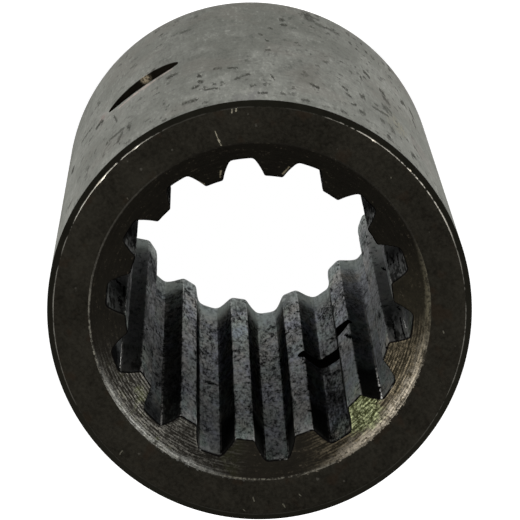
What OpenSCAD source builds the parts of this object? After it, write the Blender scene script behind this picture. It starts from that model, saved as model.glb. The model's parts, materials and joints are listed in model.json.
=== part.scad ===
// Splined shaft coupling.
// A plain turned sleeve that joins two splined shafts end to end.
// It stands on one end with its axis along +Z and the middle of its lower face at the origin.
// +X points out of the wider mouth of the cross hole.

/* [Sleeve] */
// Outside diameter of the sleeve
outer_d = 44; // [42:0.5:60]
// Length of the sleeve from face to face
length = 98; // [60:1:140]
// Width of the bevel on the outer edge, measured across the face
edge_bevel_across = 0.7; // [0.2:0.1:1]
// Height of the bevel on the outer edge, measured along the axis
edge_bevel_along = 0.45; // [0.2:0.05:1.5]

/* [Spline] */
// Number of teeth that stand into the bore
tooth_count = 14; // [12:1:15]
// Pitch diameter divided by the number of teeth
tooth_module = 2.117; // [1.9:0.001:2.2]
// Angle between a flank and the radius at the pitch circle
pressure_angle = 30; // [25:1:35]
// How far the tooth tops stand inside the pitch circle
tooth_top = 0.93; // [0.5:0.01:1.2]
// How far the tooth spaces reach outside the pitch circle
space_depth = 1.07; // [0.6:0.01:1.4]
// How much wider each space is than half a pitch, for running play and wear
flank_play = 0.34; // [0:0.02:0.5]
// Turn of the nearest tooth space away from the cross hole
spline_turn = -3; // [-12:1:12]

/* [Mouth] */
// How far each countersunk mouth reaches outside the tooth spaces
mouth_step = 1.78; // [0.5:0.01:2.2]
// Slope of the countersunk mouth, measured from the end face
mouth_slope = 30; // [20:1:50]

/* [Cross hole] */
// Diameter of the cross hole in the wall on the -X side
hole_d = 7.2; // [4:0.1:9]
// Diameter of the cross hole in the wall on the +X side
hole_mouth_d = 9.3; // [9:0.1:12]

/* [Hidden] */

outer_r = outer_d / 2;
pitch_r = tooth_count * tooth_module / 2;
base_r = pitch_r * cos(pressure_angle);
top_r = pitch_r - tooth_top;
space_r = pitch_r + space_depth;
mouth_r = space_r + mouth_step;

// Half the angle that a tooth space fills at the pitch circle
pitch_half_angle = 90 / tooth_count + flank_play / pitch_r / 2 * 180 / PI;
// Radial overrun of the flank outline past the tooth top and the space floor
flank_overrun = 0.4;
// Straight steps that each curved flank is drawn in
flank_steps = 6;
// Overrun of every cut past the surface it leaves
cut = 1;
// Fineness of every round surface
round_fn = 180;

// Involute function in degrees
function involute(a) = tan(a) * 180 / PI - a;

// Half the angle that a tooth space fills at radius r
function space_half_angle(r) =
    pitch_half_angle + involute(pressure_angle) - involute(acos(base_r / r));

// Point at radius r and angle a
function polar(r, a) = [r * cos(a), r * sin(a)];

// Radii of the points along one flank, from inside the tooth top to outside the space floor
function flank_radii() =
    let (first = top_r - flank_overrun, last = space_r + flank_overrun)
    [for (i = [0 : flank_steps]) first + (last - first) * i / flank_steps];

// Outline of one tooth space: out along one flank and back along the other
module space_outline() {
    radii = flank_radii();
    out = [for (r = radii) polar(r, -space_half_angle(r))];
    back = [for (i = [flank_steps : -1 : 0]) polar(radii[i], space_half_angle(radii[i]))];
    polygon(concat(out, back));
}

// All tooth spaces, cut off at the round floor that they share
module tooth_spaces() {
    intersection() {
        translate([0, 0, -cut])
            cylinder(h = length + 2 * cut, r = space_r, $fn = round_fn);
        for (i = [0 : tooth_count - 1])
            rotate(spline_turn + i * 360 / tooth_count)
                translate([0, 0, -2 * cut])
                    linear_extrude(length + 4 * cut)
                        space_outline();
    }
}

// Round core of the bore, which leaves the tooth tops
module bore_core() {
    translate([0, 0, -cut])
        cylinder(h = length + 2 * cut, r = top_r, $fn = round_fn);
}

// Countersunk mouth at the lower face, which widens downwards
module mouth() {
    reach = mouth_r - top_r + cut;
    overrun = cut / tan(mouth_slope);
    translate([0, 0, -cut])
        cylinder(h = reach * tan(mouth_slope) + cut,
            r1 = mouth_r + overrun, r2 = top_r - cut, $fn = round_fn);
}

// Turned blank with a bevel on both outer edges
module blank() {
    rotate_extrude($fn = round_fn)
        polygon([
            [0, 0],
            [outer_r - edge_bevel_across, 0],
            [outer_r, edge_bevel_along],
            [outer_r, length - edge_bevel_along],
            [outer_r - edge_bevel_across, length],
            [0, length]
        ]);
}

// Hole of diameter d from the axis out through the +X wall
module half_cross_hole(d) {
    translate([0, 0, length / 2])
        rotate([0, 90, 0])
            cylinder(h = outer_r + cut, d = d, $fn = round_fn);
}

module coupling_sleeve() {
    color("dimgray")
        difference() {
            blank();
            bore_core();
            tooth_spaces();
            mouth();
            translate([0, 0, length])
                mirror([0, 0, 1])
                    mouth();
            half_cross_hole(hole_mouth_d);
            mirror([1, 0, 0])
                half_cross_hole(hole_d);
        }
}

coupling_sleeve();
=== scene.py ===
# %% [markdown]
# # A worn splined coupling sleeve
# A coupling sleeve joins two splined shafts end to end. It is turned from one steel bar, a broach
# is pulled through it to cut the spline, both ends are countersunk, and a hole for a cross pin is
# drilled through the middle. Everything here is one piece of steel, so the lesson is about one good
# mesh and about finishes: dark oxide and painted shade on the ends, scuffed grey on the barrel, and
# turned mouths with painted highlights.
#
# The imported model is the fixed frame. Loading it first gives the real sizes, and the box that the
# finished piece has to stay inside.

# %% Load the frame
import json
import math
from functools import partial

import bmesh
import bpy
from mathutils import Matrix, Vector, noise
from mathutils.bvhtree import BVHTree


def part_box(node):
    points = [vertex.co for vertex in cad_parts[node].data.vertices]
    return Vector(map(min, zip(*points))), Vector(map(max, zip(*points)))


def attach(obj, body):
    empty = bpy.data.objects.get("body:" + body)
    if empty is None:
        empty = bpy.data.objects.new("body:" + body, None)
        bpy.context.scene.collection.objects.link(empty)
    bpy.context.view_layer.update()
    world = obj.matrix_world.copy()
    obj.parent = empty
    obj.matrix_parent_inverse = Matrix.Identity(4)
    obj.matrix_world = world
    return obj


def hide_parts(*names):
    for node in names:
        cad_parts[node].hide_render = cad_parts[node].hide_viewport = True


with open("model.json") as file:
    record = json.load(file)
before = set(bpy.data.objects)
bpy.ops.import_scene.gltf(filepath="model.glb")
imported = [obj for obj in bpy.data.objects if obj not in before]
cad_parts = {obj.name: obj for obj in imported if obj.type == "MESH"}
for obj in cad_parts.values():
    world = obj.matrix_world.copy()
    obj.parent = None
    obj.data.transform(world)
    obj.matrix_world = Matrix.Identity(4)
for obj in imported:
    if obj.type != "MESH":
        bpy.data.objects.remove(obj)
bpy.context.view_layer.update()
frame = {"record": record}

NODE = "coupling_sleeve"
MM = 0.001


# %% Two helpers for everything that is made
def in_scene(name, data):
    """A new object with that data, linked to the scene."""
    made = bpy.data.objects.new(name, data)
    bpy.context.scene.collection.objects.link(made)
    return made


def finished_mesh(name, bm):
    """The mesh of a bmesh, which is freed."""
    mesh = bpy.data.meshes.new(name)
    bm.to_mesh(mesh)
    bm.free()
    return mesh


# %% [markdown]
# ## Camera
# The photograph was taken from above one end, about nine degrees off the sleeve's axis, from a
# little over half a metre with a long lens. A long lens keeps the far end almost as large as the
# near one. The three turns below are the result of lining up the rims, the teeth and the cross hole.

# %% Camera
PHOTO_SIDE = 520
SENSOR_WIDTH = 36
LENS = 372.24
camera_data = bpy.data.cameras.new("camera")
camera_data.sensor_width = SENSOR_WIDTH
camera_data.lens = LENS
camera_data.clip_start = 0.05
camera_data.clip_end = 20
camera = in_scene("camera", camera_data)
camera.location = (0.07633, -0.04665, 0.64692)
camera.rotation_euler = [math.radians(a) for a in (-8.6825, -0.6522, -125.4139)]
bpy.context.scene.camera = camera
bpy.context.view_layer.update()
print("camera stands", round(camera.location.length, 3), "m from the foot of the sleeve")

# %% [markdown]
# ## Pointing at the photograph
# Scratches and stains are placed in the photograph. A pixel gives a ray from the camera, and
# the ray is cut with the surface that the mark lies on: a level plane or a cylinder. The mark then
# sits on the steel itself, and stays there when the sleeve is seen from another side.


# %% From a pixel to a point on the steel
def pixel_ray(px, py):
    """Start and direction of the ray through a pixel of the photograph."""
    per_pixel = SENSOR_WIDTH / LENS / PHOTO_SIDE
    across = (px - PHOTO_SIDE / 2) * per_pixel
    down = (py - PHOTO_SIDE / 2) * per_pixel
    direction = camera.matrix_world.to_3x3() @ Vector((across, -down, -1))
    return camera.location.copy(), direction.normalized()


def on_level(px, py, height):
    """Point at that height on the ray through a pixel."""
    start, direction = pixel_ray(px, py)
    return start + direction * ((height - start.z) / direction.z)


def cylinder_hit(start, direction, radius, far):
    """How far along a ray a cylinder is hit. The ray is given in the plane across the cylinder."""
    half_b = start.dot(direction)
    inside = half_b**2 - direction.length_squared * (start.length_squared - radius**2)
    root = math.sqrt(max(inside, 0))
    return (-half_b + (root if far else -root)) / direction.length_squared


def on_round(px, py, radius, far=False):
    """Point of a cylinder round the sleeve's axis under a pixel: its near side, or its far one."""
    start, direction = pixel_ray(px, py)
    return start + direction * cylinder_hit(start.to_2d(), direction.to_2d(), radius, far)


# %% [markdown]
# ## Driving sizes
# The outside comes from the frame's box, and the cross hole from the mounts in the record. The
# spline follows one rule: tooth count, module and pressure angle give the pitch and base circles,
# and the flank is the involute of the base circle.

# %% Sizes
low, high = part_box(NODE)
OUTER_R = high.x
LENGTH = high.z
mounts = {m["name"]: m for m in frame["record"]["mounts"]}
WIDE_HOLE_R = mounts["cross_hole_wide"]["dims"]["r_mm"] * MM
NARROW_HOLE_R = mounts["cross_hole_narrow"]["dims"]["r_mm"] * MM
HOLE_HEIGHT = mounts["cross_hole_wide"]["pos_m"][2]

BEVEL_ACROSS = 0.7 * MM
BEVEL_ALONG = 0.45 * MM
RIM_R = OUTER_R - BEVEL_ACROSS
TEETH = 14
MODULE = 2.117 * MM
PRESSURE_ANGLE = math.radians(30)
FLANK_PLAY = 0.34 * MM
ADDENDUM = 0.93 * MM
DEDENDUM = 1.07 * MM
MOUTH_STEP = 1.78 * MM
SPLINE_TURN = math.radians(-3)
PITCH_R = TEETH * MODULE / 2
BASE_R = PITCH_R * math.cos(PRESSURE_ANGLE)
TOP_R = PITCH_R - ADDENDUM
FLOOR_R = PITCH_R + DEDENDUM
MOUTH_R = FLOOR_R + MOUTH_STEP
MOUTH_SLOPE = math.tan(math.radians(30))
PITCH = math.tau / TEETH
PITCH_HALF_ANGLE = PITCH / 4 + FLANK_PLAY / PITCH_R / 2
print("tooth tops", round(2 * TOP_R / MM, 2), "mm and space floors", round(2 * FLOOR_R / MM, 2), "mm across")

# %% [markdown]
# ## Outline of the bore
# A real tooth has no knife edges: its top corners are worn round and the broach leaves a fillet at
# the root. The outline is worked out for half a pitch, from the middle of a space to the middle of
# a tooth, with each corner drawn as a small curve that leans on the sharp corner. It could also be
# bevelled afterwards, but a curve in the outline keeps the columns of the mesh straight.

# %% Half a pitch
TOP_ROUND = 0.2 * MM
ROOT_ROUND = 0.3 * MM
FLOOR_STEPS, FLANK_STEPS, TOP_STEPS, ROUND_STEPS = 6, 4, 4, 3
FLOOR, FLANK, TOP = "floor", "flank", "top"


def involute(angle):
    return math.tan(angle) - angle


def space_half_angle(radius):
    """Half the angle that a tooth space fills at a radius."""
    return PITCH_HALF_ANGLE + involute(PRESSURE_ANGLE) - involute(math.acos(BASE_R / radius))


def bent(start, corner, end):
    """Points of a curve from start to end that leans on the corner, without its two ends."""
    points = []
    for step in range(1, ROUND_STEPS):
        t = step / ROUND_STEPS
        points.append((1 - t) ** 2 * start + 2 * t * (1 - t) * corner + t**2 * end)
    return points


def at(radius, angle):
    return Vector((radius * math.cos(angle), radius * math.sin(angle)))


def half_pitch():
    """(point, part of the tooth) from the middle of a space to the middle of a tooth."""
    floor_end = space_half_angle(FLOOR_R)
    top_start = space_half_angle(TOP_R)
    floor_span = floor_end - ROOT_ROUND / FLOOR_R
    top_span = PITCH / 2 - top_start - TOP_ROUND / TOP_R
    flank_low, flank_high = FLOOR_R - ROOT_ROUND, TOP_R + TOP_ROUND
    flank = [flank_low + (flank_high - flank_low) * i / FLANK_STEPS for i in range(FLANK_STEPS + 1)]
    flank = [at(r, space_half_angle(r)) for r in flank]
    floor = [at(FLOOR_R, floor_span * i / FLOOR_STEPS) for i in range(FLOOR_STEPS + 1)]
    top = [at(TOP_R, PITCH / 2 - top_span * (1 - i / TOP_STEPS)) for i in range(TOP_STEPS + 1)]
    root_curve = bent(floor[-1], at(FLOOR_R, floor_end), flank[0])
    top_curve = bent(flank[-1], at(TOP_R, top_start), top[0])
    parts = ((FLOOR, floor), (FLANK, root_curve + flank), (TOP, top_curve + top))
    return [(point, part) for part, points in parts for point in points]


HALF = half_pitch()
TOP_HALF_ANGLE = PITCH / 2 - space_half_angle(TOP_R)
ROOT_HALF_ANGLE = PITCH / 2 - space_half_angle(FLOOR_R)
print("half a pitch has", len(HALF), "points")

# %% [markdown]
# The other half is the mirror image, and the pitch repeats fourteen times. Each point becomes one
# column of the mesh. Its radius and angle are kept, with the part of the tooth that follows it.

# %% Columns round the bore
columns = []
for tooth in range(TEETH):
    middle = SPLINE_TURN + tooth * PITCH
    for point, part in HALF[:-1]:
        columns.append((point.length, middle + math.atan2(point.y, point.x), part))
    backwards = list(reversed(HALF))
    for (point, part), (_, next_part) in zip(backwards, backwards[1:]):
        columns.append((point.length, middle + PITCH - math.atan2(point.y, point.x), next_part))
COLUMN_COUNT = len(columns)
print(COLUMN_COUNT, "columns")

# %% [markdown]
# ## The sleeve as rings
# This mesh starts as one circle low on the barrel. The ring is extruded and moved again and again:
# up the barrel, round the bevel, over the face, down the mouth, along the bore, and back under the
# lower end. The last ring is bridged to the first. All rings have the same number of points, so
# all faces are clean quads. A row says where its ring runs: radius, depth below the face, and how
# far its points have slid from even spacing (0, on the barrel) to the spline's columns (1, in the
# bore). Small shares of EDGE give each corner a few rows that break it.

# %% Rows of the section
BARREL, BEVEL, FACE, MOUTH, LIP, BORE = "barrel", "bevel", "face", "mouth", "lip", "bore"
EDGE = 0.09 * MM
LIP_WIDTH = 0.13 * MM
BARREL_ROWS = 40
FACE_ROWS = 5
FACE_SLIDE = 0.5
MOUTH_ROWS = 6
MOUTH_SLIDE = 0.6
BORE_ROWS = 56


def mouth_drop(radius):
    """How far below the face the countersunk mouth meets that radius."""
    return (MOUTH_R - radius) * MOUTH_SLOPE


def round_row(radius, depth, slide=0):
    """A rule for a row that is round: the same for every column."""
    return lambda bore_radius: (radius, depth, slide)


def upper_end_rows():
    """Rows from the top of the barrel to the end of the teeth: (stretch, rule). A rule takes a
    column's bore radius and gives radius, depth below the face and slide."""
    lean = BEVEL_ALONG / BEVEL_ACROSS
    rows = [
        (BARREL, round_row(OUTER_R, BEVEL_ALONG + EDGE)),
        (BEVEL, round_row(OUTER_R - EDGE * 0.25, BEVEL_ALONG)),
        (BEVEL, round_row(OUTER_R - EDGE, BEVEL_ALONG - EDGE * lean)),
        (BEVEL, round_row(RIM_R + EDGE, EDGE * lean)),
        (BEVEL, round_row(RIM_R + EDGE * 0.2, EDGE * 0.18)),
        (FACE, round_row(RIM_R - EDGE, 0)),
    ]
    for i in range(1, FACE_ROWS):
        share = i / FACE_ROWS
        radius = RIM_R - EDGE + (MOUTH_R + 2 * EDGE - RIM_R) * share
        rows.append((FACE, round_row(radius, 0, share * FACE_SLIDE)))
    rows += [
        (FACE, round_row(MOUTH_R + EDGE, 0, FACE_SLIDE)),
        (MOUTH, round_row(MOUTH_R, EDGE * 0.2, (FACE_SLIDE + MOUTH_SLIDE) / 2)),
        (MOUTH, round_row(MOUTH_R - EDGE, mouth_drop(MOUTH_R - EDGE), MOUTH_SLIDE)),
    ]
    for i in range(1, MOUTH_ROWS):

        def on_slope(r, share=i / MOUTH_ROWS):
            radius = MOUTH_R - EDGE + (r + LIP_WIDTH + EDGE - MOUTH_R) * share
            return radius, mouth_drop(radius), MOUTH_SLIDE + (1 - MOUTH_SLIDE) * share

        rows.append((MOUTH, on_slope))
    rows += [
        (MOUTH, lambda r: (r + LIP_WIDTH, mouth_drop(r + LIP_WIDTH), 1)),
        (LIP, lambda r: (r + LIP_WIDTH * 0.25, mouth_drop(r) + LIP_WIDTH * 0.2, 1)),
        (LIP, lambda r: (r, mouth_drop(r) + LIP_WIDTH, 1)),
    ]
    return rows


print(len(upper_end_rows()), "rows at each end")


# %% Grow the rings
def extruded(bm, edges):
    """Extrudes a ring of edges. Returns its new points, its faces and the new ring."""
    made = bmesh.ops.extrude_edge_only(bm, edges=edges)["geom"]
    verts = [g for g in made if isinstance(g, bmesh.types.BMVert)]
    faces = [g for g in made if isinstance(g, bmesh.types.BMFace)]
    new = set(verts)
    return verts, faces, [g for g in made if isinstance(g, bmesh.types.BMEdge) and set(g.verts) <= new]


def build_sleeve():
    """Mesh of the sleeve as rings, the column of every point, and the faces of every stretch."""
    bm = bmesh.new()
    column_of = bm.verts.layers.int.new("column")
    ring = bmesh.ops.create_circle(bm, segments=COLUMN_COUNT, radius=OUTER_R)["verts"]
    for index, vert in enumerate(ring):
        vert[column_of] = index
    faces_of = {}

    def place(vert, radius, height, slide):
        index = vert[column_of]
        even = SPLINE_TURN + index * math.tau / COLUMN_COUNT
        angle = even + slide * (columns[index][1] - even)
        vert.co = (radius * math.cos(angle), radius * math.sin(angle), height)

    def grow(edges, stretch, rule):
        """One more ring. rule gives radius, height and slide for a column's bore radius."""
        verts, faces, new_edges = extruded(bm, edges)
        for vert in verts:
            place(vert, *rule(columns[vert[column_of]][0]))
        faces_of.setdefault(stretch, []).extend(faces)
        return new_edges

    edge_band = BEVEL_ALONG + EDGE
    for vert in ring:
        place(vert, OUTER_R, edge_band, 0)
    first_edges = list(bm.edges)
    edges = first_edges
    for i in range(1, BARREL_ROWS):
        height = edge_band + (LENGTH - 2 * edge_band) * i / BARREL_ROWS
        edges = grow(edges, BARREL, round_row(OUTER_R, height))
    for stretch, rule in upper_end_rows():

        def upper(r, rule=rule):
            radius, depth, slide = rule(r)
            return radius, LENGTH - depth, slide

        edges = grow(edges, stretch, upper)
    for i in range(1, BORE_ROWS):

        def along(r, share=i / BORE_ROWS):
            top = LENGTH - mouth_drop(r) - LIP_WIDTH
            return r, top + (LENGTH - 2 * top) * share, 1

        edges = grow(edges, BORE, along)
    lower_rows = list(reversed(upper_end_rows()))
    stretches = [BORE] + [stretch for stretch, _ in lower_rows[:-2]]
    for stretch, (_, rule) in zip(stretches, lower_rows[:-1]):
        edges = grow(edges, stretch, rule)
    faces_of[BEVEL].extend(bmesh.ops.bridge_loops(bm, edges=edges + first_edges)["faces"])
    return bm, column_of, faces_of


sleeve_bm, column_layer, stretch_faces = build_sleeve()
print(len(sleeve_bm.faces), "quads, stretches:", {s: len(f) for s, f in stretch_faces.items()})

# %% [markdown]
# ## One finish for each surface
# The finishes are numbered here, and every face gets the number of its surface. In the bore the
# number comes from the column: floor, flank or tooth top.

# %% Number the surfaces
FINISHES = [BARREL, BEVEL, FACE, MOUTH, LIP, TOP, FLANK, FLOOR, "hole"]
for stretch, quads in stretch_faces.items():
    for quad in quads:
        quad.smooth = True
        if stretch != BORE:
            quad.material_index = FINISHES.index(stretch)
            continue
        numbers = sorted(v[column_layer] for v in quad.verts)
        first_column = numbers[-1] if numbers[-1] - numbers[0] > 1 else numbers[0]
        quad.material_index = FINISHES.index(columns[first_column][2])
print(len({q.material_index for q in sleeve_bm.faces}), "finishes in use before the cross hole")

# %% [markdown]
# ## Wear in the mesh
# In the photograph the corners of the teeth are worn round at the far end. Smoothing the points of
# the last fourteen millimetres does that, more and more towards the end. The teeth are a little
# hollowed all over, by a noise that only ever takes steel away. The outer rim has a few dents where
# the sleeve was dropped, which push its points down and in.

# %% Worn teeth and dented rim
WEAR = [(14 * MM, 3), (9 * MM, 4), (5 * MM, 6)]
HOLLOWS_A_METRE = 420
HOLLOW_FROM = 0.15
HOLLOW_DEPTH = 0.16 * MM
RIM_DENTS = [
    ((101, 180), 1.1, 0.13), ((135, 148), 0.7, 0.1), ((374, 141), 0.5, 0.08), ((411, 171), 0.5, 0.08),
]


def points_of(*stretches):
    """The points of some stretches, each once and always in the same order."""
    return list(dict.fromkeys(v for s in stretches for f in stretch_faces[s] for v in f.verts))


for reach, passes in WEAR:
    worn = [vert for vert in points_of(BORE, LIP) if vert.co.z < reach]
    for _ in range(passes):
        bmesh.ops.smooth_vert(sleeve_bm, verts=worn, factor=0.5, use_axis_x=True, use_axis_y=True)
bore_verts = points_of(BORE)
for vert in bore_verts:
    hollow = max(noise.noise(vert.co * HOLLOWS_A_METRE) - HOLLOW_FROM, 0) * HOLLOW_DEPTH
    vert.co += vert.co.to_2d().normalized().to_3d() * hollow
rim_verts = [vert for vert in points_of(BEVEL) if vert.co.z > LENGTH / 2]
for pixel, reach, depth in RIM_DENTS:
    centre = on_level(*pixel, LENGTH)
    for vert in rim_verts:
        near = max(1 - (vert.co - centre).length / reach / MM, 0)
        inwards = -vert.co.to_2d().normalized().to_3d() - Vector((0, 0, 1))
        vert.co += inwards * near**2 * depth * MM
print(len(bore_verts), "points in the bore,", len(rim_verts), "on the rim")

bmesh.ops.recalc_face_normals(sleeve_bm, faces=sleeve_bm.faces)
print("volume before drilling:", round(sleeve_bm.calc_volume() / MM**3), "mm3")
sleeve = in_scene("sleeve", finished_mesh("sleeve", sleeve_bm))

# %% [markdown]
# ## Drilling the cross hole
# The drill goes through the barrel into the bore and on into the opposite wall, where it is
# narrower. The drills are cylinders, and a Boolean modifier takes them out of the sleeve. Each
# drill ends in a small flare that follows the round barrel, so the rim of the hole is broken like
# a real one and catches a thin line of light.

# %% Drills
DRILL_SIDES = 160
FLARE = 0.16 * MM
DRILL_RINGS = [(0, FLARE), (FLARE * 0.25, FLARE * 0.3), (FLARE, -0.02 * MM), (FLARE * 1.1, -2 * MM)]


def drill(name, radius, way):
    """A cylinder along X that flares where it leaves the barrel. way is 1 for +X and -1 for -X. Each
    ring is wider than the drill by its first number, and lies below the barrel by its second."""
    bm = bmesh.new()
    ring = bmesh.ops.create_circle(bm, segments=DRILL_SIDES, radius=radius, cap_ends=True)["verts"]
    for vert in ring:
        vert.co = (TOP_R * 0.5, vert.co.x, vert.co.y + HOLE_HEIGHT)
    edges = list(bm.edges)
    for wider, sunk in DRILL_RINGS:
        verts, _, edges = extruded(bm, edges)
        for vert in verts:
            across = Vector((vert.co.y, vert.co.z - HOLE_HEIGHT))
            across *= (radius + wider) / across.length
            surface = math.sqrt(OUTER_R**2 - across.x**2)
            vert.co = (surface - sunk, across.x, across.y + HOLE_HEIGHT)
    bmesh.ops.contextual_create(bm, geom=edges)
    for wall in bm.faces:
        wall.material_index = FINISHES.index("hole")
        wall.smooth = True
    if way < 0:
        bmesh.ops.scale(bm, vec=(-1, 1, 1), verts=bm.verts)
    bmesh.ops.recalc_face_normals(bm, faces=bm.faces)
    return in_scene(name, finished_mesh(name, bm))


drills = [drill("wide_drill", WIDE_HOLE_R, 1), drill("narrow_drill", NARROW_HOLE_R, -1)]
materials = [bpy.data.materials.new(name) for name in FINISHES]
for body in (sleeve, *drills):
    for material in materials:
        body.data.materials.append(material)
for cutter in drills:
    cut = sleeve.modifiers.new(cutter.name, "BOOLEAN")
    cut.operation = "DIFFERENCE"
    cut.solver = "EXACT"
    cut.object = cutter
drilled = bpy.data.meshes.new_from_object(sleeve.evaluated_get(bpy.context.evaluated_depsgraph_get()))
sleeve.modifiers.clear()
sleeve.data = drilled
for cutter in drills:
    bpy.data.objects.remove(cutter)
print("drilled mesh:", len(drilled.polygons), "faces")

# %% Sharp edges
SHARP_FROM = 38
drilled.set_sharp_from_angle(angle=math.radians(SHARP_FROM))
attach(sleeve, "root")
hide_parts(NODE)
print("edges are sharp from", SHARP_FROM, "degrees")

# %% [markdown]
# ## Writing shader maths like sums
# A material here is a small calculation on the point's place: its distance from the axis, its
# height, some noise. This class wraps a socket so that plain Python sums add the Math nodes.


# %% A socket that can be calculated with
def math_node(operation):
    """A method that adds one Math node. share, below, is the part after the decimal point."""

    def method(*values):
        graph = next(v.graph for v in values if isinstance(v, Number))
        return graph.node("ShaderNodeMath", {"operation": operation}, dict(enumerate(values)))

    return method


class Number:
    """A float socket. Sums on it add Math nodes to its graph."""

    def __init__(self, graph, socket):
        self.graph = graph
        self.socket = socket

    def __radd__(self, other):
        return math_node("ADD")(other, self)

    def __rsub__(self, other):
        return math_node("SUBTRACT")(other, self)

    __add__ = math_node("ADD")
    __sub__ = math_node("SUBTRACT")
    __mul__ = math_node("MULTIPLY")
    __truediv__ = math_node("DIVIDE")
    __pow__ = math_node("POWER")
    most = math_node("MAXIMUM")
    least = math_node("MINIMUM")
    size = math_node("ABSOLUTE")
    share = math_node("FRACT")
    wave = math_node("SINE")
    arctan2 = math_node("ARCTAN2")


# %% The nodes of a material or world
class Graph:
    """Nodes that are all made by one method."""

    def __init__(self, owner):
        owner.use_nodes = True
        self.tree = owner.node_tree
        self.tree.nodes.clear()

    def node(self, kind, settings, inputs, output=0):
        """Adds a node: settings first, then its sockets. Returns one output, or the node itself."""
        made = self.tree.nodes.new(kind)
        for name, value in settings.items():
            setattr(made, name, value)
        for name, value in inputs.items():
            if isinstance(value, Number):
                self.tree.links.new(value.socket, made.inputs[name])
            elif isinstance(value, tuple) and made.inputs[name].type == "RGBA":
                made.inputs[name].default_value = (*value, 1)
            else:
                made.inputs[name].default_value = value
        return made if output is None else Number(self, made.outputs[output])


# %% A finish under construction
class Finish(Graph):
    """A material and the few patterns that the finishes are made of."""

    def __init__(self, name):
        super().__init__(bpy.data.materials[name])
        self.name = name
        self.place = self.node("ShaderNodeTexCoord", {}, {}, "Object")
        split = self.node("ShaderNodeSeparateXYZ", {}, {0: self.place}, None)
        self.x, self.y, self.z = (Number(self, s) for s in split.outputs)
        self.radius = (self.x * self.x + self.y * self.y) ** 0.5

    def vector(self, x, y, z):
        return self.node("ShaderNodeCombineXYZ", {}, {"X": x, "Y": y, "Z": z})

    def vector_math(self, operation, first, second, output="Vector"):
        return self.node("ShaderNodeVectorMath", {"operation": operation}, {0: first, 1: second}, output)

    def length(self, vector):
        return self.vector_math("LENGTH", vector, (0, 0, 0), "Value")

    def stretched(self, across, along):
        """The point's place with X and Y times across and height times along."""
        return self.vector_math("MULTIPLY", self.place, (across, across, along))

    def noise(self, vector, scale, detail, roughness=0.55):
        """Soft noise from 0 to 1. scale counts its lumps in one metre."""
        sockets = {"Vector": vector, "Scale": scale, "Detail": detail, "Roughness": roughness}
        return self.node("ShaderNodeTexNoise", {"noise_dimensions": "3D"}, sockets, "Fac")

    def mottle(self, vector, scale, detail, roughness, spread):
        """Rough noise that fills the range from 0 to 1. Every finer octave counts almost as much."""
        grain = self.noise(vector, scale, detail, roughness)
        sockets = {"Value": grain, "From Min": 0.5 - spread, "From Max": 0.5 + spread}
        return self.node("ShaderNodeMapRange", {}, sockets)

    def spots(self, vector, scale, widest, rough):
        """1 inside scattered spots and 0 outside. Each cell holds one spot of its own size, and
        rough noise frays its edge."""
        cell = self.node("ShaderNodeTexVoronoi", {}, {"Vector": vector, "Scale": scale}, None)
        distance = Number(self, cell.outputs["Distance"])
        colour = self.node("ShaderNodeSeparateColor", {}, {0: Number(self, cell.outputs["Color"])}, None)
        reach = (Number(self, colour.outputs[0]) ** 3.0) * widest
        return self.step(distance + (rough - 0.5) * reach, reach, reach * 0.3)

    def step(self, value, start, end):
        """0 below start, 1 past end, and a soft step between. start may be the larger one."""
        sockets = {"Value": value, "From Min": start, "From Max": end}
        return self.node("ShaderNodeMapRange", {"interpolation_type": "SMOOTHSTEP"}, sockets)

    def turned_to(self, px, py, wide):
        """1 on the side of the sleeve where that pixel of the upper face lies, 0 past wide degrees."""
        way = on_level(px, py, LENGTH).to_2d().normalized()
        facing = (self.x * way.x + self.y * way.y) / self.radius
        return self.step(facing, math.cos(math.radians(wide)), 1.0)

    def mark(self, space, start, end, half_width, rough):
        """1 on a scratch from start to end in a space and 0 beside it, with an edge frayed by noise."""
        along = end - start
        from_start = self.vector_math("SUBTRACT", space, tuple(start))
        ratio = self.vector_math("DOT_PRODUCT", from_start, tuple(along), "Value")
        ratio = (ratio / max(along.length_squared, 1e-12)).most(0.0).least(1.0)
        scale = {"operation": "SCALE"}
        reached = self.node("ShaderNodeVectorMath", scale, {0: tuple(along), "Scale": ratio})
        away = self.length(self.vector_math("SUBTRACT", from_start, reached))
        return self.step(away + (rough - 0.5) * (half_width * 1.2), half_width, half_width * 0.35)

    def blot(self, pixel, point, across, along, rough):
        """A soft stain round the point under a pixel, across and along in mm, with a rough edge."""
        offset = self.vector_math("SUBTRACT", self.place, tuple(point(*pixel)))
        scale = (1 / across / MM, 1 / across / MM, 1 / along / MM)
        away = self.length(self.vector_math("MULTIPLY", offset, scale))
        return self.step(away + (rough - 0.5) * 1.6, 1.0, 0.35)

    def mix(self, first, second, share, blend="MIX"):
        """Colour that goes from first to second as share goes from 0 to 1."""
        settings = {"data_type": "RGBA", "blend_type": blend}
        return self.node("ShaderNodeMix", settings, {0: share, 6: first, 7: second}, 2)

    def layers(self, colour, *coats, blend="MIX"):
        """A colour under coats, from the lowest up: each its own colour and how much of it shows."""
        for coat, share in coats:
            colour = self.mix(colour, coat, share, blend)
        return colour

    def steel(self, colour, metallic, roughness, tint, level=0.0, relief=None, depth=0.0):
        """The shader itself. tint is the metal's colour at a flat angle, level the share of plain
        shine, and relief times depth, in metres, the height of its bumps."""
        sockets = {"Base Color": colour, "Metallic": metallic, "Roughness": roughness}
        sockets |= {"Specular Tint": tint, "Specular IOR Level": level}
        if relief is not None:
            sockets["Normal"] = self.node("ShaderNodeBump", {}, {"Height": relief, "Distance": depth})
        surface = self.node("ShaderNodeBsdfPrincipled", {}, sockets)
        self.node("ShaderNodeOutputMaterial", {}, {"Surface": surface}, None)
        print(self.name, "finish:", len(self.tree.nodes), "nodes")
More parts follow.
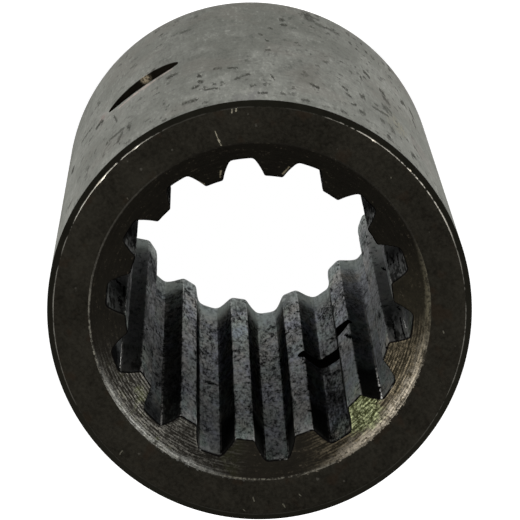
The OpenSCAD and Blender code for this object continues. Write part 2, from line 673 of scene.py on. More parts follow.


# %% [markdown]
# ## The barrel
# The barrel was turned, browned and knocked about. Its grey is mottled in soft clouds, with small
# dark pits and a few scratches, most of which run round it. Its left and right sides are painted
# lighter as painted light, its pale flecks are painted highlights, and a pale line along the near
# rim of the cross hole is a painted highlight too. The camera sees the barrel at a flat angle, which
# shortens everything along the axis. So the mottling and the pits are stretched along the height,
# to look as long as they do in the photograph, and only the faint rubs run the other way. A dark
# edge tint keeps the steel from turning white at that angle.

# %% Scars on the barrel: start pixel, end pixel, half width in mm
BARREL_SCARS = [
    (316, 24, 338, 34, 0.24), (281, 20, 283, 20, 0.3), (281, 25, 286, 25, 0.22), (198, 76, 201, 76, 0.26),
    (199, 82, 202, 82, 0.24), (240, 77, 249, 74, 0.2), (228, 68, 237, 68, 0.16), (214, 69, 221, 68, 0.18),
    (193, 88, 198, 86, 0.2), (183, 104, 196, 100, 0.24), (311, 84, 318, 88, 0.22), (304, 72, 306, 75, 0.3),
    (259, 93, 267, 93, 0.18), (303, 100, 309, 101, 0.22), (181, 33, 189, 30, 0.25), (168, 78, 176, 74, 0.3),
    (343, 87, 347, 90, 0.24), (347, 94, 351, 97, 0.2), (342, 111, 346, 113, 0.22), (352, 104, 356, 105, 0.2),
    (266, 50, 270, 50, 0.16), (205, 90, 217, 88, 0.12), (259, 34, 262, 35, 0.16), (213, 84, 215, 84, 0.18),
    (266, 40, 268, 41, 0.2), (271, 75, 274, 79, 0.14), (269, 28, 272, 29, 0.16),
]
SIDE_SCARS = [
    (380, 90, 383, 93, 0.2), (384, 98, 389, 104, 0.26), (383, 106, 387, 110, 0.22), (388, 109, 391, 113, 0.2),
    (373, 107, 388, 116, 0.1), (401, 102, 404, 104, 0.2), (410, 111, 413, 117, 0.22),
    (413, 121, 415, 126, 0.2), (391, 128, 394, 131, 0.2), (381, 120, 384, 122, 0.14),
    (360, 111, 365, 114, 0.16), (388, 136, 390, 137, 0.18), (412, 155, 415, 157, 0.2),
    (361, 78, 361, 78, 0.22), (364, 72, 369, 77, 0.16), (361, 96, 364, 97, 0.18), (388, 66, 389, 69, 0.2),
    (124, 128, 109, 141, 0.09), (122, 134, 118, 141, 0.16), (103, 121, 96, 128, 0.16),
    (128, 127, 130, 128, 0.2), (92, 128, 82, 142, 0.08), (74, 168, 72, 172, 0.2), (114, 116, 117, 121, 0.1),
]
BARREL_LIGHTS = [
    (255, 62, 264, 59, 0.12), (276, 39, 288, 40, 0.1), (306, 39, 311, 42, 0.12), (238, 60, 256, 57, 0.08),
    (132, 110, 139, 114, 0.12), (96, 118, 108, 112, 0.12),
]
# Painted highlight along the near rim of the cross hole: start pixel, end pixel, half width in mm.
HOLE_RIM_HIGHLIGHTS = [(119, 108, 134, 95, 0.12), (134, 95, 151, 83, 0.16), (151, 83, 172, 69, 0.12)]
BARREL_SQUEEZE = 0.12
SIDE_SQUEEZE = 0.06
barrel_point = partial(on_round, radius=OUTER_R)


def marked(finish, scars, point, rough, squeeze=1.0):
    """Every scratch of a list as one mask. point turns a pixel into a point on the steel. squeeze
    shortens heights before a distance is taken, so a dent in the barrel is as long along the axis
    as it has to be to show at the flat angle from which it is seen."""
    space = finish.stretched(1.0, squeeze)
    scale = Vector((1, 1, squeeze))
    total = None
    for start_x, start_y, end_x, end_y, half_width in scars:
        start = point(start_x, start_y) * scale
        end = point(end_x, end_y) * scale
        found = finish.mark(space, start, end, half_width * MM, rough)
        total = found if total is None else total.most(found)
    return total


print(len(BARREL_SCARS) + len(SIDE_SCARS), "scars on the barrel")

# %% Patterns on the barrel
barrel = Finish("barrel")
drawn = barrel.stretched(1.0, 0.16)
mottle = barrel.mottle(drawn, 170.0, 5.0, 0.9, 0.13)
grain = barrel.mottle(drawn, 2900.0, 2.0, 0.8, 0.18)
clouds = barrel.noise(barrel.stretched(1.0, 0.35), 85.0, 3.0, 0.6)
rubs = barrel.mottle(barrel.stretched(0.35, 2.2), 330.0, 3.0, 0.7, 0.22)
warm = barrel.step(barrel.noise(barrel.stretched(1.0, 0.4), 150.0, 2.0), 0.52, 0.66)
broken = barrel.step(grain * 0.55 + mottle * 0.45, 0.3, 0.62)
tone = mottle * 0.59 + grain * 0.22 + rubs * 0.19

crowd = barrel.step(barrel.noise(barrel.stretched(1.0, 0.3), 130.0, 2.0), 0.4, 0.62)
crowd = crowd.most(barrel.blot((388, 100), barrel_point, 2.6, 26.0, mottle))
smooth_side = barrel.turned_to(225, 60, 22) * barrel.step(barrel.z, 66 * MM, 44 * MM) * 0.8
crowd = (crowd * 0.8 + 0.2) * (1 - smooth_side)
dots = barrel.spots(barrel.stretched(1.0, 0.24), 1150.0, 0.62, grain) * crowd
dashes = barrel.spots(barrel.stretched(0.7, 0.3), 900.0, 0.5, grain) * crowd

scars = marked(barrel, BARREL_SCARS, barrel_point, grain, BARREL_SQUEEZE) * (broken * 0.75 + 0.25)
side_scars = marked(barrel, SIDE_SCARS, barrel_point, grain, SIDE_SQUEEZE) * (broken * 0.5 + 0.5)
stain = barrel.blot((306, 16), barrel_point, 1.0, 6.0, mottle) * (broken * 0.6 + 0.4)
dirt = (dots * 0.62).most(dashes * 0.56).most(scars.most(side_scars) * 0.85).most(stain * 0.8)
# Painted highlight: a pale pink line along the near rim of the cross hole.
burr_highlight = marked(barrel, HOLE_RIM_HIGHLIGHTS, barrel_point, grain, BARREL_SQUEEZE) * (broken * 0.7 + 0.3)
# Painted highlights: pale flecks in the grey, together with a few listed light scratches.
flecks_and_highlights = barrel.step(grain * 0.6 + mottle * 0.4, 0.72, 0.85)
flecks_and_highlights = flecks_and_highlights.most(marked(barrel, BARREL_LIGHTS, barrel_point, grain, BARREL_SQUEEZE) * broken)

# %% Barrel finish
olive_rub = barrel.blot((399, 127), barrel_point, 1.8, 7.0, mottle) * broken
pink_rub = barrel.blot((419, 150), barrel_point, 2.2, 9.0, mottle) * broken
rust = barrel.blot((103, 117), barrel_point, 1.3, 5.0, mottle)
violet = barrel.blot((252, 95), barrel_point, 2.5, 8.0, mottle)
# Painted light: the barrel's left and right sides are painted lighter, as if lit.
lit_sides = barrel.turned_to(440, 190, 42).most(barrel.turned_to(90, 200, 46))
grey = barrel.layers(
    barrel.mix((0.071, 0.073, 0.064), (0.24, 0.244, 0.221), tone),
    ((0.095, 0.098, 0.085), barrel.step(clouds, 0.48, 0.6) * 0.45),
    ((0.19, 0.16, 0.14), warm * 0.14),
    ((0.3, 0.3, 0.275), lit_sides * 0.16),
    ((0.2, 0.17, 0.085), olive_rub * 0.35),
    ((0.22, 0.15, 0.14), (pink_rub * 0.3).most(rust * 0.5)),
    ((0.12, 0.09, 0.15), violet * 0.1),
    ((0.3, 0.3, 0.275), flecks_and_highlights * 0.4),
    ((0.46, 0.36, 0.32), burr_highlight * 0.85),
    ((0.016, 0.015, 0.012), dirt),
)
barrel.steel(
    grey, metallic=tone * 0.5 + 0.3 - dirt * 0.3, roughness=0.46 + mottle * 0.12 + dirt * 0.2,
    tint=(0.35, 0.35, 0.34), relief=mottle * 0.3 + grain * 0.3 - dirt, depth=0.0001,
)

# %% [markdown]
# ## The end faces and the outer bevel
# The end faces are painted brown-black and almost even: dark oxide skin, and painted shade for the
# shade on the ends. They show faint turning rings and a few pale specks and cuts where they were hit.
# Where a face meets its mouth, crumbs of the rubbed edge reach a little way onto it. The bevel is
# painted near black, also as painted shade, and its inner edge carries a painted highlight: a broken
# bright line, strongest at the upper left and right, with brighter spots at the dents.

# %% Scars on the upper face
FACE_CUTS = [
    (215, 131, 219, 141, 0.07), (218, 139, 223, 149, 0.12), (232, 108, 232, 112, 0.12),
    (236, 107, 236, 111, 0.11),
]
FACE_SCARS = [
    (122, 451, 120, 454, 0.08), (253, 497, 254, 501, 0.07), (283, 504, 285, 507, 0.07),
    (299, 494, 301, 496, 0.06), (243, 509, 245, 511, 0.06), (96, 183, 99, 180, 0.06),
    (443, 331, 444, 333, 0.06), (391, 177, 391, 178, 0.07), (127, 198, 128, 199, 0.07),
]
RIM_SCARS = [
    (97, 186, 100, 181, 0.13), (100, 181, 105, 176, 0.1), (133, 150, 136, 147, 0.09),
    (373, 140, 375, 142, 0.1), (410, 170, 411, 171, 0.08), (113, 168, 116, 164, 0.07),
]
face_point = partial(on_level, height=LENGTH)
rim_point = partial(on_level, height=LENGTH - BEVEL_ALONG * 0.2)
print(len(FACE_CUTS) + len(FACE_SCARS), "marks on the face,", len(RIM_SCARS), "on its rim")

# %% Face finish
face = Finish("face")
turning = face.noise(face.vector(face.radius * 26.0, face.x, face.y), 150.0, 3.0, 0.6)
skin = face.mottle(face.place, 130.0, 4.0, 0.85, 0.14)
speckle = face.mottle(face.place, 2600.0, 2.0, 0.8, 0.16)
dust = face.spots(face.place, 620.0, 0.15, speckle)
rusty_skin = face.step(face.noise(face.place, 420.0, 3.0), 0.56, 0.7)
nicks = marked(face, FACE_SCARS, face_point, speckle)
cuts = marked(face, FACE_CUTS, face_point, speckle)
crumbled = face.step(face.radius - MOUTH_R + (speckle - 0.5) * (0.4 * MM), 0.14 * MM, 0.05 * MM)
crumbled = crumbled * face.step(face.mottle(face.place, 1000.0, 3.0, 0.8, 0.2), 0.3, 0.6)
skin_tone = skin * 0.45 + turning * 0.15 + speckle * 0.4
# Painted shade: the dark oxide is painted near black for the shade on the end, under dust, nicks, cuts and
# crumbs.
oxide_and_shade = face.layers(
    face.mix((0.0052, 0.0046, 0.0032), (0.0262, 0.0238, 0.0178), skin_tone),
    ((0.022, 0.0125, 0.007), rusty_skin * 0.35),
    ((0.09, 0.085, 0.07), dust * 0.45),
    ((0.16, 0.15, 0.115), nicks * 0.75),
    ((0.36, 0.33, 0.25), cuts * 0.85),
    ((0.34, 0.3, 0.23), crumbled * face.turned_to(376, 425, 36) * 0.8),
    ((0.2, 0.2, 0.18), crumbled * face.turned_to(185, 460, 30) * 0.4),
)
nicks = nicks.most(cuts)
face.steel(
    oxide_and_shade, metallic=0.25 + nicks * 0.4, roughness=0.55 + skin * 0.1, tint=(0.35, 0.34, 0.3), level=0.12,
    relief=turning * 0.25 + skin * 0.25 + speckle * 0.2 - nicks * 0.6, depth=0.00006,
)

# %% Bevel finish
bevel = Finish("bevel")
chips = bevel.noise(bevel.place, 480.0, 3.0, 0.65)
drift = (bevel.noise(bevel.place, 210.0, 2.0) - 0.5) * (0.16 * MM)
breaks = bevel.mottle(bevel.place, 330.0, 4.0, 0.85, 0.16)
edge_line = bevel.step((bevel.radius - RIM_R + drift).size(), (breaks * 0.12 + 0.08) * MM, 0.02 * MM)
# Painted highlight: a broken bright line along the inner edge of the bevel, strongest at the upper left and
# right, and brighter in spots at the dents.
long_highlight = bevel.turned_to(100, 181, 26).most(bevel.turned_to(408, 168, 34))
faint_highlight = bevel.turned_to(58, 285, 46).most(bevel.turned_to(466, 290, 54)) * 0.5
hit = bevel.turned_to(101, 180, 4.5).most(bevel.turned_to(134, 148, 3.0)).most(bevel.turned_to(374, 141, 1.6))
worn = edge_line * (long_highlight * 0.72).most(faint_highlight * 0.6).most(hit * 0.9).most(0.04)
worn = worn * bevel.step(breaks, 0.15 - hit * 0.2, 0.6 - hit * 0.3)
dents = marked(bevel, RIM_SCARS, rim_point, breaks) * bevel.step(chips, 0.2, 0.5)
# Painted shade: the bevel is painted near black, a little lighter towards the bottom, with pale scars at the
# dents.
black = bevel.layers(
    bevel.mix((0.0045, 0.0043, 0.0032), (0.011, 0.0105, 0.0077), chips),
    ((0.0165, 0.0155, 0.0116), bevel.turned_to(262, 480, 125)),
    ((0.56, 0.53, 0.46), worn),
    ((0.4, 0.36, 0.29), dents * 0.9),
)
bevel.steel(
    black, metallic=0.02 + worn.most(dents) * 0.7, roughness=0.5 - worn * 0.12, tint=(0.3, 0.3, 0.28),
)

# %% [markdown]
# ## The countersunk mouths
# The mouths were turned last, so their steel is bare, with the rings of the tool's feed a little
# over a quarter of a millimetre apart. Most of the mouth is painted dark brown: old brown oil, and
# painted shade as well. In two long arcs, silver on one side and tan on the other, the rings are
# painted as short bright dashes: a painted highlight, and in the tan arc also the steel's own tan
# colour. The outer edge carries a painted highlight line, widest in the two arcs and duller in an
# olive arc above the tan, and one patch is flaked and olive green.


# %% Patterns in the mouth
def mouth_point(px, py):
    """Point on the upper mouth's slope under a pixel, found in a few steps down the ray."""
    point = on_level(px, py, LENGTH)
    for _ in range(4):
        point = on_level(px, py, LENGTH - mouth_drop(point.to_2d().length))
    return point


FEED = 0.28 * MM
# Painted glints at three tooth ends, drawn on the mouth's slope.
MOUTH_GLINTS = [(198, 181, 204, 184, 0.12), (221, 171, 220, 177, 0.12), (283, 174, 289, 167, 0.12)]
mouth = Finish("mouth")
wobble = mouth.noise(mouth.place, 240.0, 2.0)
ring_wave = ((mouth.radius / FEED + wobble * 1.4) * math.tau).wave() * 0.5 + 0.5
streaks = mouth.mottle(mouth.vector(mouth.radius * 11.0, mouth.x, mouth.y), 430.0, 3.0, 0.85, 0.15)
crumbs = mouth.mottle(mouth.place, 2600.0, 3.0, 0.9, 0.16)
patches = mouth.mottle(mouth.place, 170.0, 4.0, 0.8, 0.2)
lumps = mouth.mottle(mouth.place, 1000.0, 3.0, 0.8, 0.2)
lines = mouth.step(ring_wave * 0.19 + streaks * 0.43 + crumbs * 0.38, 0.38, 0.86)
# Painted highlights: the silver arc and the tan arc are painted bright as if lit; the tan arc also holds the
# steel's own tan colour.
silver_highlight_arc = mouth.turned_to(150, 432, 40)
tan_and_highlight_arc = mouth.turned_to(388, 407, 39)
bright = silver_highlight_arc.most(tan_and_highlight_arc)

# %% Rims of the mouth
# Painted highlight lines along the mouth's outer edge: a wide crumbly one in the two arcs and the olive arc,
# and a thin one elsewhere.
silver_rim = mouth.turned_to(145, 434, 42)
tan_rim = mouth.turned_to(386, 413, 45)
olive_rim = mouth.turned_to(432, 318, 30)
rim_width = 0.12 + silver_rim * 0.42 + tan_rim * 0.8 + olive_rim * 0.35
rim_depth = (MOUTH_R - mouth.radius) / MM / rim_width
ragged = (crumbs - 0.5) * 0.9 + (lumps - 0.5) * 1.2 + (patches - 0.5) * 0.9
rim = mouth.step(rim_depth + ragged, 1.3, 0.3)
rim = rim * (crumbs * 0.85 + streaks * 0.12 + 0.05) * (mouth.step(lumps, 0.2, 0.62) * 0.95 + 0.13)
thin_rim = mouth.step(MOUTH_R - mouth.radius, 0.15 * MM, 0.03 * MM)
low_rim = mouth.step(patches * 0.5 + crumbs * 0.5, 0.4, 0.7) * mouth.turned_to(260, 478, 60)
left_rim = mouth.turned_to(88, 325, 34) * mouth.step(streaks * 0.5 + crumbs * 0.5, 0.35, 0.8)
upper_rim = mouth.turned_to(105, 240, 40).most(mouth.turned_to(400, 250, 60) * 0.35).most(0.15)

# %% Mouth finish
oily = patches * 0.45 + streaks * 0.3 + crumbs * 0.25
# The dark brown base is old oil, painted darker as painted shade.
brown = mouth.layers(
    mouth.mix((0.0045, 0.004, 0.003), (0.0145, 0.0125, 0.009), oily),
    ((0.034, 0.029, 0.017), olive_rim * (patches * 0.4 + crumbs * 0.3) * 0.8),
    ((0.2, 0.18, 0.12), rim * olive_rim * 0.75),
)
silver = mouth.layers(
    mouth.mix((0.009, 0.008, 0.0065), (0.127, 0.123, 0.108), lines * (patches * 0.5 + 0.5)),
    ((0.05, 0.06, 0.015), mouth.step(patches, 0.6, 0.9) * 0.3),
    ((0.37, 0.37, 0.34), rim * silver_rim),
)
tan = mouth.mix((0.014, 0.0115, 0.007), (0.17, 0.14, 0.092), lines * (patches * 0.4 + 0.6))
tan = mouth.mix(tan, (0.44, 0.39, 0.31), rim * tan_rim)
flakes = mouth.step(crumbs * 0.4 + streaks * 0.35 + patches * 0.25, 0.32, 0.76)
green = mouth.mix((0.018, 0.021, 0.006), (0.32, 0.35, 0.19), flakes)
rare = mouth.step(crumbs * 0.6 + streaks * 0.4, 0.76, 0.9)
bare = mouth.layers(
    brown,
    (silver, silver_highlight_arc),
    (tan, tan_and_highlight_arc),
    (green, mouth.blot((364, 413), mouth_point, 1.9, 1.9, patches) * 0.8),
    ((0.12, 0.1, 0.07), rare * 0.3),
    ((0.16, 0.15, 0.12), thin_rim * low_rim * 0.8),
    ((0.26, 0.245, 0.2), thin_rim * left_rim * 0.9),
    ((0.07, 0.066, 0.055), thin_rim * upper_rim * (crumbs * 0.6 + 0.4) * 0.8),
    ((0.3, 0.26, 0.17), marked(mouth, MOUTH_GLINTS, mouth_point, crumbs) * 0.8),
)
mouth.steel(
    bare, metallic=0.25 + bright * 0.45, roughness=0.5 - bright * 0.05, tint=(0.35, 0.34, 0.3), level=0.12,
    relief=(ring_wave * 0.3 + streaks * 0.3) * (bright * 0.8 + 0.2) + crumbs * 0.2, depth=0.00004,
)

# %% Lip finish
lip = Finish("lip")
lip_chips = lip.mottle(lip.place, 900.0, 3.0, 0.8, 0.2)
# Painted glints: bright bits on the lip, most of them at the bottom.
lip_glints = lip.step(lip_chips, 0.72, 0.9) * lip.turned_to(250, 470, 110).most(0.15)
lip_colour = lip.mix((0.0035, 0.0032, 0.003), (0.2, 0.2, 0.185), lip_glints * 0.6)
lip.steel(lip_colour, metallic=0.1 + lip_glints * 0.5, roughness=0.55, tint=(0.3, 0.3, 0.3))

# %% [markdown]
# ## The spline
# The tooth tops and the space floors are a cool grey, mottled and full of black pits, torn most
# along the edges of the tops. The flanks look black, because each flank mirrors the next one, and
# their colour is painted darker towards the bottom; near the upper mouth all three surfaces are
# painted darker still, as painted shade, and a dark line at the mouth end is painted shade too. The
# flanks on the left and right are painted lighter, as painted light, and deeper in, the flanks on the
# right mirror the white under the far end. Near the far end the colour is painted lighter, as light
# from the far opening. Bits of the edges carry painted glints. Scratches and dark blots on a flank
# are placed with a ray that stops at the mesh itself.

# %% Marks in the bore
TOP_SCARS = [
    (344, 335, 351, 337, 0.3), (385, 343, 387, 350, 0.16), (152, 360, 162, 366, 0.16),
    (162, 366, 171, 364, 0.14), (146, 329, 148, 329, 0.24), (161, 324, 163, 324, 0.24),
]
# Dark blots: pixel, width across and length along in mm.
TOP_DARK_BLOTS = [((311, 385), 0.7, 9.0), ((389, 372), 2.0, 9.0)]
TOP_GLINTS = [(338, 339, 349, 329, 0.07)]
FLANK_SCARS = [
    (119, 298, 121, 304, 0.3), (117, 281, 120, 284, 0.22), (124, 287, 124, 294, 0.16),
    (114, 289, 114, 308, 0.08), (110, 296, 111, 302, 0.1), (376, 251, 398, 253, 0.07),
    (377, 261, 391, 264, 0.08), (387, 252, 390, 279, 0.08), (397, 254, 402, 277, 0.09),
    (392, 258, 394, 262, 0.2), (398, 307, 407, 314, 0.16), (400, 318, 405, 338, 0.1),
    (393, 322, 396, 338, 0.12), (407, 322, 409, 332, 0.1), (382, 268, 386, 270, 0.14),
]
FLANK_DARK_BLOTS = [((408, 329), 0.5, 6.0)]
FLANK_GLINTS = [(403, 318, 406, 328, 0.02), (122, 342, 120, 368, 0.025)]
FLOOR_SCARS = [(204, 382, 221, 385, 0.08), (305, 340, 308, 341, 0.2), (241, 412, 246, 412, 0.16)]
FLOOR_DARK_BLOTS = [
    ((333, 402), 2.7, 24.0), ((322, 372), 1.6, 12.0), ((214, 384), 1.8, 1.6), ((114, 356), 1.6, 8.0),
]
FLOOR_RUST = [(204, 384, 221, 387, 0.16)]
on_top = partial(on_round, radius=TOP_R, far=True)
on_floor = partial(on_round, radius=FLOOR_R, far=True)
steel_tree = BVHTree.FromPolygons([v.co for v in drilled.vertices], [p.vertices for p in drilled.polygons])


def on_steel(px, py):
    """First point of the mesh itself on the ray through a pixel."""
    return steel_tree.ray_cast(*pixel_ray(px, py))[0]


print(len(TOP_SCARS) + len(FLANK_SCARS) + len(FLOOR_SCARS), "scars in the bore")


# %% Spline finishes
def bore_finish(
    name, dark, light, far_end_light, metallic, edge_tint, pitting, end_shade, place, mouth_soot, left_dark=0.0,
    right_dark=0.0, soot_from=74, oil=0.0, mirror=0.0, squeeze=1.0, scars=(), stains=(), rusty=(), glints=(),
):
    """Finish of one part of the spline, from its darkest and lightest grey. far_end_light is the colour
    painted near the far end as light from the far opening. end_shade is the width in mm of the dark
    line painted as shade at the mouth, and place turns a pixel into a point. mouth_soot sets the
    painted shade near the mouth, left_dark, right_dark and oil say how dark some sides are, and
    soot_from is the height in mm from which the painted shade near the mouth thickens."""
    finish = Finish(name)
    long = finish.stretched(1.0, 0.22)
    grain = finish.mottle(long, 2700.0, 2.0, 0.85, 0.16)
    mottle = finish.mottle(finish.stretched(1.0, 0.15), 300.0, 5.0, 0.9, 0.15)
    blotches = finish.noise(finish.stretched(1.0, 0.3), 230.0, 3.0, 0.6)
    tint = finish.mottle(finish.stretched(1.0, 0.3), 300.0, 3.0, 0.6, 0.16)
    other_tint = finish.mottle(long, 380.0, 2.0, 0.6, 0.16)
    underside = finish.turned_to(260, 480, 80)
    left_side = finish.turned_to(100, 300, 72)
    right_side = finish.turned_to(420, 240, 62)
    even = mottle * 0.5 + grain * 0.5
    tone = ((even - 0.5) * (underside * 0.5 + 0.85) + 0.5).most(0.07)

    turn = finish.y.arctan2(finish.x)
    from_tooth = (((turn - SPLINE_TURN) / PITCH).share() - 0.5).size() * PITCH
    from_edge = (from_tooth - TOP_HALF_ANGLE).size() * TOP_R
    from_root = (from_tooth - ROOT_HALF_ANGLE).size() * FLOOR_R
    near_edge = finish.step(from_edge, 0.8 * MM, 0.2 * MM)
    # The colour near the far end is painted lighter, as light from the far opening.
    lit_far_end = finish.step(finish.z + (mottle - 0.5) * (3 * MM), 15 * MM, 6 * MM)
    deep = finish.step(finish.z, 62 * MM, 12 * MM)
    near_end = finish.step(finish.z, 34 * MM, 46 * MM)
    near_mouth = finish.step(finish.z, soot_from * MM, (soot_from + 18) * MM)
    near_lip = finish.step(finish.z, 84 * MM, 94 * MM)
    end_depth = LENGTH - finish.z - mouth_drop(finish.radius)
    # A dark line painted as shade at the mouth end of the spline.
    end_shade_line = finish.step(end_depth + (grain - 0.5) * (0.2 * MM), end_shade * MM, end_shade * 0.4 * MM)

    shade = finish.mix(finish.mix(dark, light, tone), dark, finish.step(blotches, 0.5, 0.7) * 0.35)
    blue_share = (underside * 0.6 + 0.1) * (1 - near_lip * 0.8)
    shade = finish.layers(
        shade,
        ((0.88, 0.92, 1.25), finish.step(tint, 0.5, 0.85) * blue_share),
        # Painted shade: the colour near the lip is darkened and warmed.
        ((0.86, 0.82, 0.76), near_lip * 0.8),
        ((0.88, 1.06, 0.98), finish.step(other_tint, 0.45, 0.8) * 0.8),
        ((1.1, 1.0, 0.88), finish.step(tint, 0.45, 0.15) * 0.8),
        blend="MULTIPLY",
    )
    metal = tone * 1.5 * metallic
    patchy = finish.step(finish.noise(finish.stretched(1.0, 0.1), 900.0, 3.0, 0.8), 0.42, 0.58)
    low_left = (finish.turned_to(122, 375, 50) * 1.15).least(1.0)
    # Darker patches on the left and right sides, and painted shade near the upper mouth on the lower left.
    soot_and_shade = left_side * (patchy * 0.4 + 0.25) * left_dark
    soot_and_shade = soot_and_shade.most(right_side * right_dark * (patchy * 0.4 + 0.6))
    soot_and_shade = soot_and_shade.most(low_left * near_mouth * (patchy * 0.04 + 0.955) * mouth_soot)
    if oil:
        # Flanks only: darker towards the bottom, and painted shade near the upper mouth.
        under_mouth = finish.turned_to(260, 480, 120).most(finish.turned_to(384, 420, 50))
        soot_and_shade = soot_and_shade.most(finish.turned_to(240, 480, 100) * (1 - deep * 0.6) * oil)
        soot_and_shade = soot_and_shade.most(near_mouth * (under_mouth * 0.99).most(patchy * 0.18 + 0.8))
        # Painted light: the flanks on the left and right are painted lighter.
        shade = finish.mix(shade, light, (right_side * 0.8).most(left_side * 0.5))
        metal = metal + finish.turned_to(420, 285, 70) * (deep * 0.8 + 0.2) * mirror
    soot_and_shade = soot_and_shade * (1 - lit_far_end)

    torn = finish.step(even - near_edge * 0.1, 0.32, 0.14)
    pits = finish.spots(long, 1000.0, 0.78, grain) * finish.step(blotches, 0.42, 0.56)
    tears = finish.spots(finish.stretched(0.85, 0.45), 900.0, 0.78, grain) * near_edge
    # Pits, tears, scars, dark blots and the painted shade line at the mouth end, all painted near black.
    pits_and_shade = (torn * 0.2).most(pits * 0.8).most(tears) * pitting
    if scars:
        pits_and_shade = pits_and_shade.most(marked(finish, scars, place, grain, squeeze))
    pits_and_shade = pits_and_shade.most(end_shade_line * 0.85)
    for pixel, across, along in stains:
        pits_and_shade = pits_and_shade.most(finish.blot(pixel, place, across, along, mottle) * (1 - tone * 0.35) * 0.9)

    # Painted highlights: glints along the roots, strongest at two places, along the tooth edges, most on the
    # underside, and along the listed glint lines.
    bright_roots = finish.turned_to(162, 425, 5) * (0.45 - near_mouth * 0.28)
    bright_roots = (finish.turned_to(384, 402, 5) * 0.8).most(bright_roots) * near_end
    glint = finish.step(from_root, 0.11 * MM, 0.03 * MM) * bright_roots.most(0.05)
    glint = glint.most(finish.step(from_edge, 0.11 * MM, 0.03 * MM) * (underside * 0.14 + 0.06))
    glint = glint * finish.step(even, 0.4, 0.6)
    if glints:
        glint = glint.most(marked(finish, glints, place, grain) * 0.9)
    shade = finish.layers(
        shade,
        (dark, soot_and_shade),
        # Painted light near the far end.
        (far_end_light, lit_far_end * 0.9 * (mottle * 0.4 + 0.6)),
        ((0.002, 0.002, 0.002), pits_and_shade),
        ((0.95, 0.93, 0.88), glint),
    )
    if rusty:
        shade = finish.mix(shade, (0.11, 0.06, 0.03), marked(finish, rusty, place, grain) * 0.8)
    metal = metal.most(lit_far_end * 0.5).least(1.0) * (1 - pits_and_shade) * (1 - glint) * (1 - soot_and_shade * 0.9)
    finish.steel(
        shade, metallic=metal * (1 - near_lip * 0.45), roughness=0.42 + mottle * 0.12,
        tint=(edge_tint,) * 3, relief=mottle * 0.4 + grain * 0.2 - pits_and_shade * 0.8, depth=0.00004,
    )


bore_finish(
    "top", (0.007, 0.0075, 0.008), (0.345, 0.36, 0.355), (0.2, 0.235, 0.215), metallic=0.95, edge_tint=0.8,
    pitting=0.9, end_shade=0.25, place=on_top, mouth_soot=0.25, left_dark=1.3, right_dark=0.3,
    scars=TOP_SCARS, stains=TOP_DARK_BLOTS, glints=TOP_GLINTS,
)
bore_finish(
    "flank", (0.005, 0.005, 0.0045), (0.54, 0.55, 0.54), (0.37, 0.415, 0.38), metallic=0.25, edge_tint=0.4,
    pitting=0.5, end_shade=1.0, place=on_steel, mouth_soot=1.0, soot_from=64, oil=0.72, mirror=0.8,
    squeeze=0.15, scars=FLANK_SCARS, stains=FLANK_DARK_BLOTS, glints=FLANK_GLINTS,
)
bore_finish(
    "floor", (0.007, 0.0075, 0.008), (0.25, 0.266, 0.264), (0.2, 0.235, 0.215), metallic=0.9, edge_tint=0.65,
    pitting=0.85, end_shade=1.0, place=on_floor, mouth_soot=0.98, left_dark=1.05, right_dark=0.9,
    scars=FLOOR_SCARS, stains=FLOOR_DARK_BLOTS, rusty=FLOOR_RUST,
)


# %% Cross hole finish
def hole_point(px, py):
    """Point on the wall of the wide cross hole under a pixel."""
    start, direction = pixel_ray(px, py)
    across_start = Vector((start.y, start.z - HOLE_HEIGHT))
    across_way = Vector((direction.y, direction.z))
    return start + direction * cylinder_hit(across_start, across_way, WIDE_HOLE_R, True)


hole = Finish("hole")
wall_noise = hole.noise(hole.place, 300.0, 4.0, 0.6)
gold = hole.blot((145, 79), hole_point, 0.95, 0.95, wall_noise)
rough_wall = hole.mottle(hole.place, 1500.0, 3.0, 0.8, 0.2)
# Painted shade: the wall of the cross hole is painted almost black, with a gold patch on its far side.
wall_colour = hole.layers(
    hole.mix((0.002, 0.002, 0.0016), (0.011, 0.009, 0.0062), wall_noise),
    ((0.34, 0.28, 0.19), gold * hole.step(rough_wall, 0.25, 0.75)),
)
hole.steel(
    wall_colour, metallic=gold * 0.3, roughness=0.55, tint=(1, 1, 1),
    relief=wall_noise + rough_wall * 0.5, depth=0.0001,
)

# %% [markdown]
# ## Floor, world and lamps
# The photograph has no visible surroundings. To the camera and to reflections the floor glows:
# fully white under the bore, and in part elsewhere, so it keeps a soft shadow. To all other light
# it is a plain pale floor. Two wide soft lamps stand at the photograph's upper left and right.

# %% Floor
FLOOR_HALF = 2.5
FLOOR_GLOW = 0.55
GLOW_MARGIN = 2 * MM
floor_bm = bmesh.new()
bmesh.ops.create_grid(floor_bm, x_segments=1, y_segments=1, size=FLOOR_HALF)
ground = in_scene("ground", finished_mesh("ground", floor_bm))

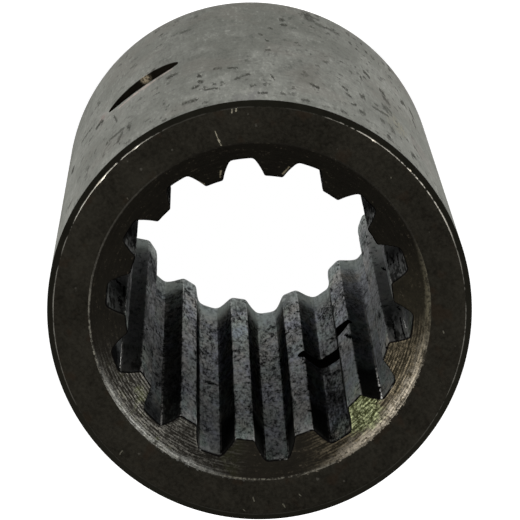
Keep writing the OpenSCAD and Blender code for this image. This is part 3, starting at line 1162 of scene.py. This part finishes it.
ground.data.materials.append(bpy.data.materials.new("ground"))
paper = Finish("ground")
rays = paper.node("ShaderNodeLightPath", {}, {}, None)
seen = Number(paper, rays.outputs["Is Camera Ray"]).most(Number(paper, rays.outputs["Is Glossy Ray"]))
seen = seen.most(Number(paper, rays.outputs["Is Transmission Ray"]))
under_bore = paper.step(paper.radius, MOUTH_R + GLOW_MARGIN, MOUTH_R)
matte = paper.node("ShaderNodeBsdfDiffuse", {}, {"Color": (0.85, 0.85, 0.85)})
white_glow = paper.node("ShaderNodeEmission", {}, {"Color": (1, 1, 1), "Strength": 1.0})
soft_glow = paper.node("ShaderNodeEmission", {}, {"Color": (1, 1, 1), "Strength": FLOOR_GLOW})
shadowed = paper.node("ShaderNodeAddShader", {}, {0: matte, 1: soft_glow})
shown = paper.node("ShaderNodeMixShader", {}, {0: under_bore, 1: shadowed, 2: white_glow})
either = paper.node("ShaderNodeMixShader", {}, {0: seen, 1: matte, 2: shown})
paper.node("ShaderNodeOutputMaterial", {}, {"Surface": either}, None)
print("floor:", 2 * FLOOR_HALF, "m across,", len(paper.tree.nodes), "nodes")

# %% World
SKY_LIGHT = 0.42
world = bpy.data.worlds.new("studio")
bpy.context.scene.world = world
sky = Graph(world)
to_camera = sky.node("ShaderNodeLightPath", {}, {}, "Is Camera Ray")
soft = sky.node("ShaderNodeBackground", {}, {"Color": (1, 1, 1), "Strength": SKY_LIGHT})
white = sky.node("ShaderNodeBackground", {}, {"Color": (1, 1, 1), "Strength": 1.0})
backdrop = sky.node("ShaderNodeMixShader", {}, {0: to_camera, 1: soft, 2: white})
sky.node("ShaderNodeOutputWorld", {}, {"Surface": backdrop}, None)
print("the sky lights at", SKY_LIGHT, "and is white to the camera")

# %% Lamps
LAMP_SIZE = 0.5
LAMP_DISTANCE = 1.2


def lamp(name, right, up, near, power):
    """A square soft lamp that faces the sleeve's middle. It stands to the photograph's right, up in
    it and towards the camera, in those shares."""
    view = camera.matrix_world.to_3x3()
    flat = view.col[0].to_2d().normalized() * right + view.col[1].to_2d().normalized() * up
    data = bpy.data.lights.new(name, "AREA")
    data.size = LAMP_SIZE
    data.energy = power
    made = in_scene(name, data)
    made.location = Vector((flat.x, flat.y, near)).normalized() * LAMP_DISTANCE
    towards = Vector((0, 0, LENGTH / 2)) - made.location
    made.rotation_euler = towards.to_track_quat("-Z", "Y").to_euler()
    print(name, "stands at", [round(c, 2) for c in made.location])


lamp("right_lamp", 0.72, 0.46, 0.45, 11)
lamp("left_lamp", -0.8, 0.38, 0.45, 10)

# %% Finish
bpy.context.scene.view_settings.view_transform = "Standard"
